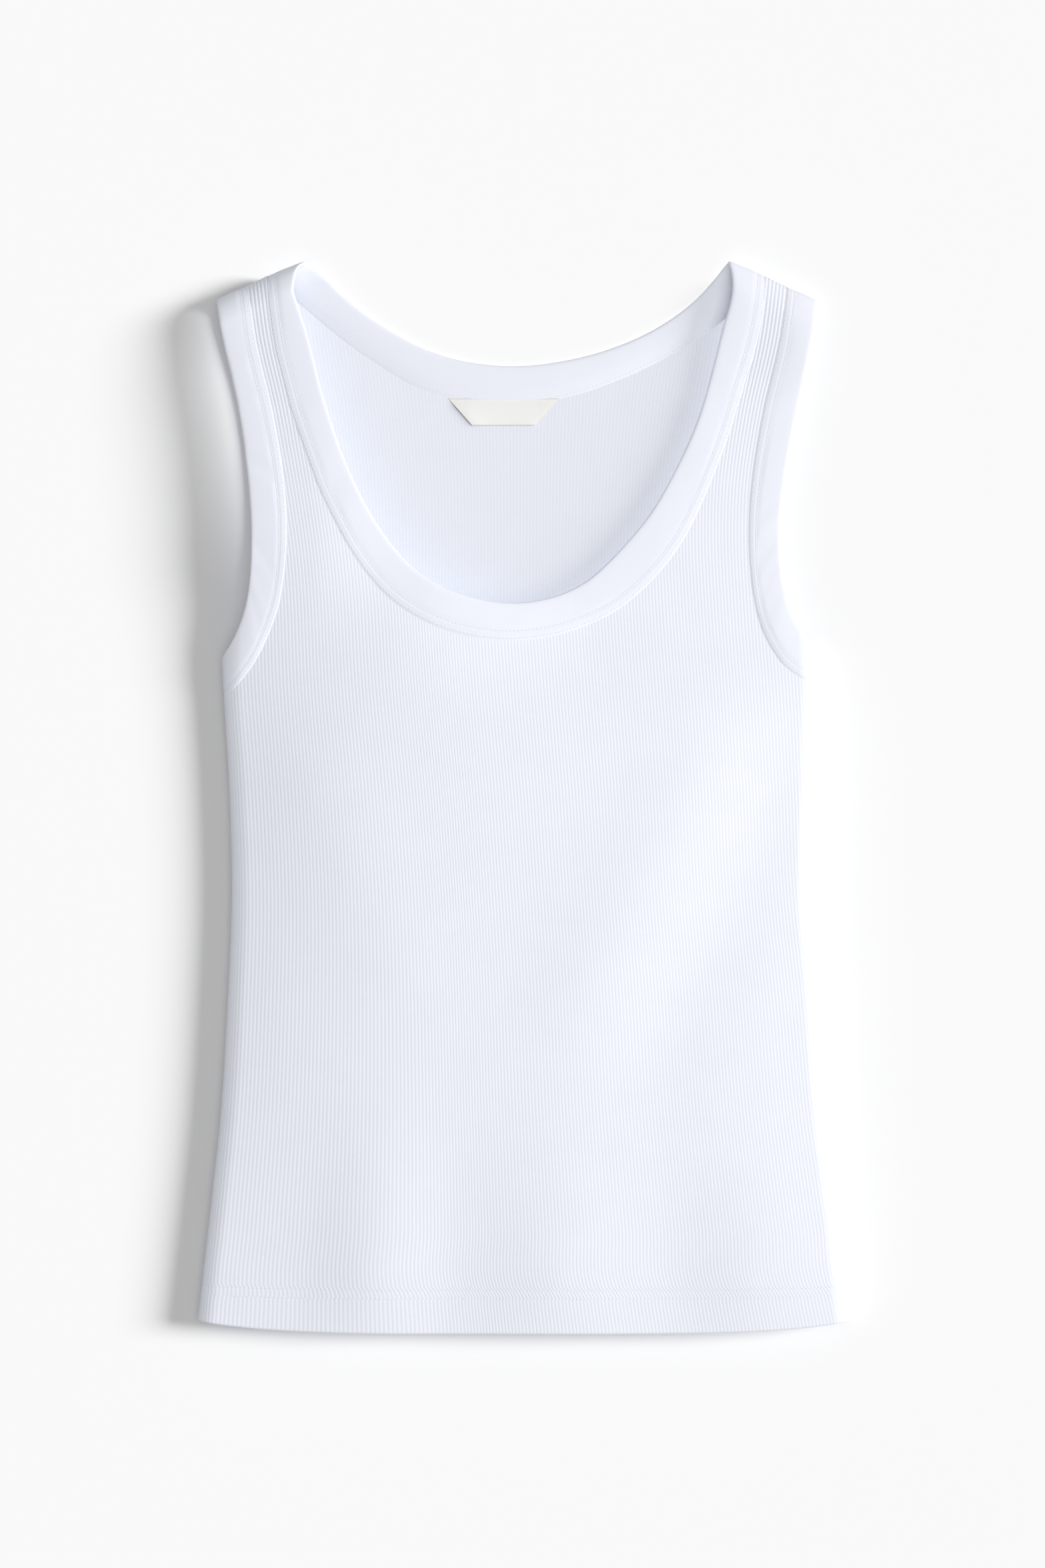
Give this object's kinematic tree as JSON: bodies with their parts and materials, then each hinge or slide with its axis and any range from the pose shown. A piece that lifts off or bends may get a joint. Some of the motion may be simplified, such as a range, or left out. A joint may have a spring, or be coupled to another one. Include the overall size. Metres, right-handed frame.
{
  "type": "ribbed tank top",
  "caption": "Sleeveless ribbed tank top laid flat, with a low round neck, wide neck and armhole bindings, a folded inside label and a turned-up hem.",
  "frame": {"origin": "centre of the bounding box in plan, on the table under the back", "axes": "+Y from the hem towards the neck, +Z out of the front, +X towards the wearer's left"},
  "size_m": [0.3571, 0.5852, 0.0231],
  "materials": {
    "cotton_rib": "fine white cotton rib knit, matt, with vertical ribs",
    "cotton_binding": "folded white cotton rib band, matt, coverstitched",
    "label_satin": "blank off-white satin tape with a soft sheen"
  },
  "bodies": {
    "root": {"front_panel": "cotton_rib", "back_panel": "cotton_rib", "neck_binding": "cotton_binding", "armhole_binding_left": "cotton_binding", "armhole_binding_right": "cotton_binding", "neck_label": "label_satin"}
  },
  "joints": []
}
